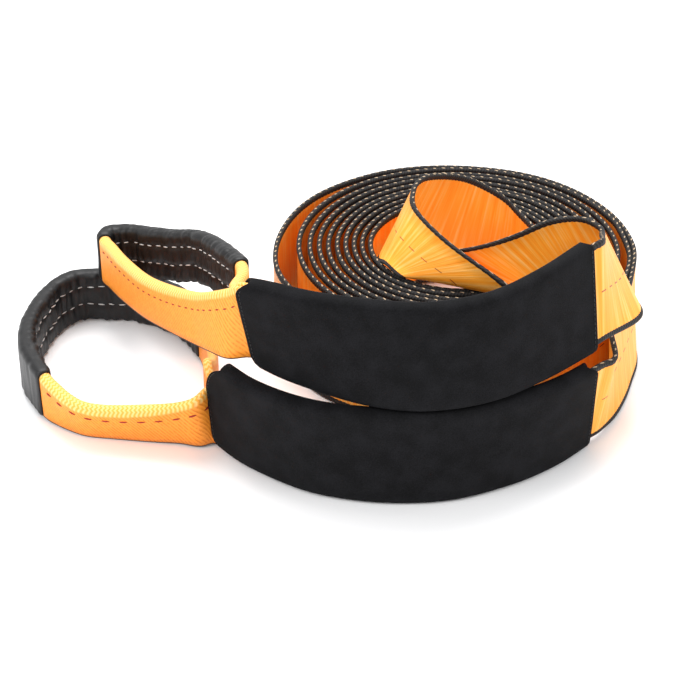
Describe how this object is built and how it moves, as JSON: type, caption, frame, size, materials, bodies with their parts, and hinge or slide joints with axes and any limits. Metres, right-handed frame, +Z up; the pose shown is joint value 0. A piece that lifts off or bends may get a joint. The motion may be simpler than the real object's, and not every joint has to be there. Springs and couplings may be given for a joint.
{
  "type": "tow strap",
  "caption": "Flat webbing tow strap coiled on edge, with a folded eye in a wear pad at each end and a padded sleeve over each splice.",
  "frame": {"origin": "middle of the outline's base, on the surface that the strap lies on", "axes": "+Z up; +X along the strap's long way, from the eyes towards the coil; the sleeves run along the front, -Y"},
  "size_m": [0.4728, 0.3746, 0.1645],
  "materials": {
    "webbing": "woven, satin sheen, black selvedge cords",
    "eye_webbing": "folded woven webbing with red stitching",
    "sleeve": "matte neoprene-like sleeve",
    "wear_pad": "gathered black nylon with white stitching"
  },
  "bodies": {
    "root": {"coil_turns": "webbing", "outer_turn": "webbing", "inner_end": "webbing", "eye_upper": "eye_webbing", "eye_lower": "eye_webbing", "sleeve_upper": "sleeve", "sleeve_lower": "sleeve", "pad_upper": "wear_pad", "pad_lower": "wear_pad"}
  },
  "joints": []
}
